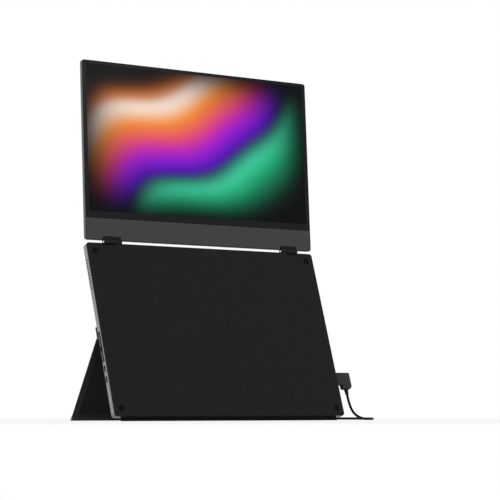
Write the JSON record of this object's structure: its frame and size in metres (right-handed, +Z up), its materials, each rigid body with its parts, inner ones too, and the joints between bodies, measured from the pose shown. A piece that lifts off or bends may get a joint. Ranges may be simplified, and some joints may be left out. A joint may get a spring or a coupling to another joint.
{
  "type": "laptop screen extender",
  "caption": "Folding second screen: a thin display panel hinged to a base panel with ports, keys and speakers, which leans on a fold-out rear stand plate and is fed by a cable.",
  "frame": {"origin": "on the table, under the middle of the opened object without its cable", "axes": "+X to the right of someone facing the picture, +Y away from them, +Z up"},
  "size_m": [0.4348, 0.2235, 0.4667],
  "materials": {
    "backlight_white": "matte",
    "black_plastic": "matte",
    "black_rubber": "matte",
    "board": "matte",
    "cell": "gloss",
    "chin_metal": "satin",
    "cord_black": "matte",
    "dark_metal": "satin",
    "grey_metal": "satin",
    "grey_rubber": "matte",
    "hinge_black": "satin",
    "inner_metal": "satin",
    "key_metal": "satin",
    "plug_plastic": "satin",
    "screen_glass": "gloss",
    "stand_black": "matte",
    "steel": "satin"
  },
  "bodies": {
    "base": {"base_rear_shell": "grey_metal", "base_end_cap": "grey_metal", "base_front_cover": "black_plastic", "cover_pads": "black_rubber", "main_board": "board", "main_board_screws": "steel", "left_port_board": "board", "right_port_board": "board", "port_board_screws": "steel", "left_lower_port": "steel", "left_upper_port": "steel", "right_port": "steel", "key_switches": "black_plastic", "left_speaker": "black_plastic", "right_speaker": "black_plastic", "left_base_hinge_leaf": "hinge_black", "right_base_hinge_leaf": "hinge_black", "base_hinge_screws": "steel", "base_foot_strip": "black_rubber", "stand_mount_strip": "stand_black", "stand_strip_screws": "steel", "stand_hinge_pin": "steel", "plug_shell": "steel", "plug_body": "plug_plastic", "plug_strain_relief": "cord_black", "power_cord": "cord_black", "cord_coil": "cord_black", "cord_tail": "cord_black", "end_plug_strain_relief": "cord_black", "end_plug_body": "plug_plastic", "end_plug_shell": "steel"},
    "display": {"display_rear_shell": "dark_metal", "chin_cover": "chin_metal", "screen_glass": "screen_glass", "liquid_crystal_cell": "cell", "backlight": "backlight_white", "backlight_support": "inner_metal", "display_board": "board", "display_board_screws": "steel", "left_display_hinge_leaf": "hinge_black", "right_display_hinge_leaf": "hinge_black", "left_hinge_pin": "steel", "right_hinge_pin": "steel", "left_hinge_cover": "black_plastic", "right_hinge_cover": "black_plastic", "display_hinge_screws": "steel"},
    "stand": {"stand_plate": "stand_black", "stand_foot_strip": "grey_rubber"},
    "power_key": {"power_key": "key_metal"},
    "rocker_key": {"rocker_key": "key_metal"}
  },
  "joints": [
    {"name": "display_hinge", "type": "hinge", "parent": "base", "child": "display", "pos_m": [0, 0.01818, 0.22972], "axis": [1, 0, 0], "range_deg": [-15.4, 164.6]},
    {"name": "stand_hinge", "type": "hinge", "parent": "base", "child": "stand", "pos_m": [0, -0.01018, 0.10437], "axis": [1, 0, 0], "range_deg": [-51, 29]},
    {"name": "power_key_press", "type": "slide", "parent": "base", "child": "power_key", "axis": [1, 0, 0], "range_m": [0, 0.0005], "stiffness_N_per_m": 1200},
    {"name": "rocker_key_tilt", "type": "hinge", "parent": "base", "child": "rocker_key", "pos_m": [-0.17525, -0.01847, 0.10223], "axis": [0, 0.9466, -0.3223], "range_deg": [-2.5, 2.5], "stiffness_Nm_per_rad": 0.8}
  ]
}
